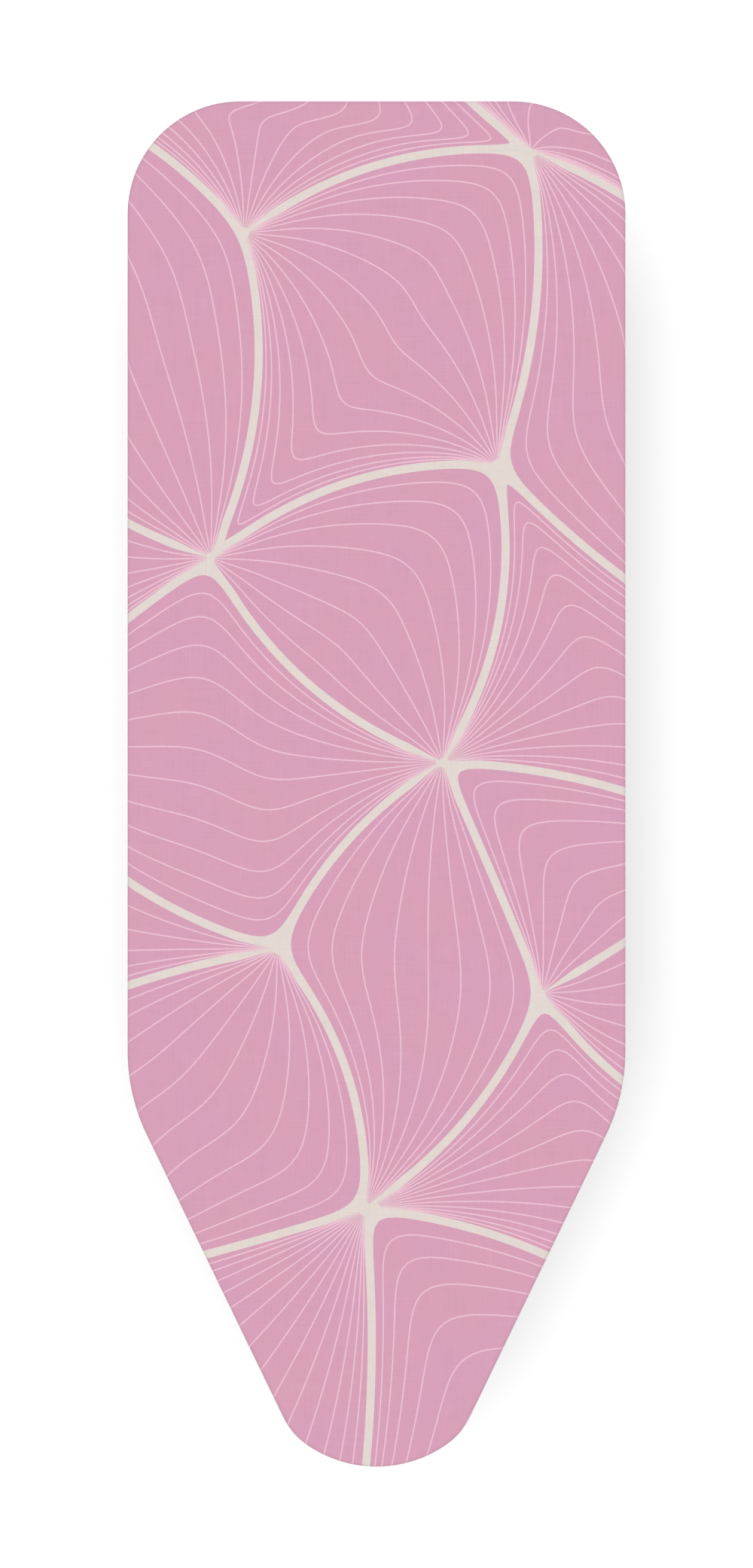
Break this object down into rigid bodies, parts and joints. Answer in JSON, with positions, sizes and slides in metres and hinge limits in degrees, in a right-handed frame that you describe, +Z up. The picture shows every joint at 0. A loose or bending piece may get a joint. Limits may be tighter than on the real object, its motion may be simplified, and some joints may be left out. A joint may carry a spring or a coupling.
{
  "type": "ironing board",
  "caption": "Folding ironing board with a padded printed cover, tapered nose, steel mesh top and crossed tubular legs that lock at any height.",
  "frame": {"origin": "on the floor, under the middle of the board's plan", "axes": "+Z up, -Y towards the tapered nose, +Y towards the square tail, +X to the right seen from the nose end looking at the tail"},
  "size_m": [0.452, 1.24, 0.93],
  "materials": {
    "cover_cotton": "matt printed cotton, pink with cream veins",
    "elastic": "braided elastic cord",
    "foam": "open-cell foam",
    "mesh_steel": "galvanised expanded sheet",
    "white_paint": "off-white powder coat, satin",
    "zinc_steel": "bright zinc plate",
    "dark_plastic": "moulded, fine texture"
  },
  "bodies": {
    "board": {"cover": "cover_cotton", "hem_elastic": "elastic", "foam_pad": "foam", "mesh_top": "mesh_steel", "edge_rim": "white_paint", "tail_rib": "white_paint", "pivot_rib": "white_paint", "centre_rib": "white_paint", "nose_rib": "white_paint", "guide_rail_left": "white_paint", "guide_rail_right": "white_paint", "lock_rod": "zinc_steel", "rod_bracket_nose": "white_paint", "rod_bracket_tail": "white_paint", "rod_nut_nose": "zinc_steel", "rod_nut_tail": "zinc_steel", "pivot_bracket_left": "white_paint", "pivot_bracket_right": "white_paint", "pivot_pin_left": "zinc_steel", "pivot_pin_right": "zinc_steel"},
    "front_leg": {"front_leg_tube_left": "white_paint", "front_leg_tube_right": "white_paint", "front_leg_plug_left": "dark_plastic", "front_leg_plug_right": "dark_plastic", "front_leg_brace": "white_paint", "front_foot_bar": "white_paint", "front_foot_cap_left": "dark_plastic", "front_foot_cap_right": "dark_plastic", "cross_bolt_left": "zinc_steel", "cross_bolt_right": "zinc_steel", "cross_nut_left": "zinc_steel", "cross_nut_right": "zinc_steel", "cross_spacer_left": "dark_plastic", "cross_spacer_right": "dark_plastic"},
    "rear_leg": {"rear_leg_tube_left": "white_paint", "rear_leg_tube_right": "white_paint", "rear_leg_plug_left": "dark_plastic", "rear_leg_plug_right": "dark_plastic", "rear_leg_brace": "white_paint", "rear_foot_bar": "white_paint", "rear_foot_cap_left": "dark_plastic", "rear_foot_cap_right": "dark_plastic", "slide_shaft": "zinc_steel", "outer_spacer_left": "dark_plastic", "outer_spacer_right": "dark_plastic", "shaft_nut_left": "zinc_steel", "shaft_nut_right": "zinc_steel"},
    "carriage": {"carriage_block": "dark_plastic", "rail_glide_left": "dark_plastic", "rail_glide_right": "dark_plastic", "inner_spacer_left": "dark_plastic", "inner_spacer_right": "dark_plastic", "finger_bar": "zinc_steel", "finger_bar_grip": "dark_plastic", "lever_pin": "zinc_steel"},
    "lever": {"clamp_lever": "zinc_steel", "lever_grip": "dark_plastic", "lever_spring": "zinc_steel"}
  },
  "joints": [
    {"name": "legs_fold", "type": "hinge", "parent": "board", "child": "front_leg", "pos_m": [0, 0.44, 0.87918], "axis": [-1, 0, 0], "range_deg": [-4.7, 51.5]},
    {"name": "legs_cross", "type": "hinge", "parent": "front_leg", "child": "rear_leg", "pos_m": [0, 0.16962, 0.50703], "axis": [1, 0, 0], "range_deg": [-9.4, 103]},
    {"name": "carriage_level", "type": "hinge", "parent": "rear_leg", "child": "carriage", "pos_m": [0, -0.10076, 0.87918], "axis": [-1, 0, 0], "range_deg": [-4.7, 51.5]},
    {"name": "lever_squeeze", "type": "hinge", "parent": "carriage", "child": "lever", "pos_m": [-0.022, -0.15076, 0.85918], "axis": [0, 0, 1], "range_deg": [0, 6], "stiffness_Nm_per_rad": 2, "springref_deg": -2.86, "deforming": ["lever_spring"]}
  ],
  "couplings": [
    {"joint": "legs_cross", "follows": "legs_fold", "ratio": 2},
    {"joint": "carriage_level", "follows": "legs_fold", "ratio": 1}
  ]
}
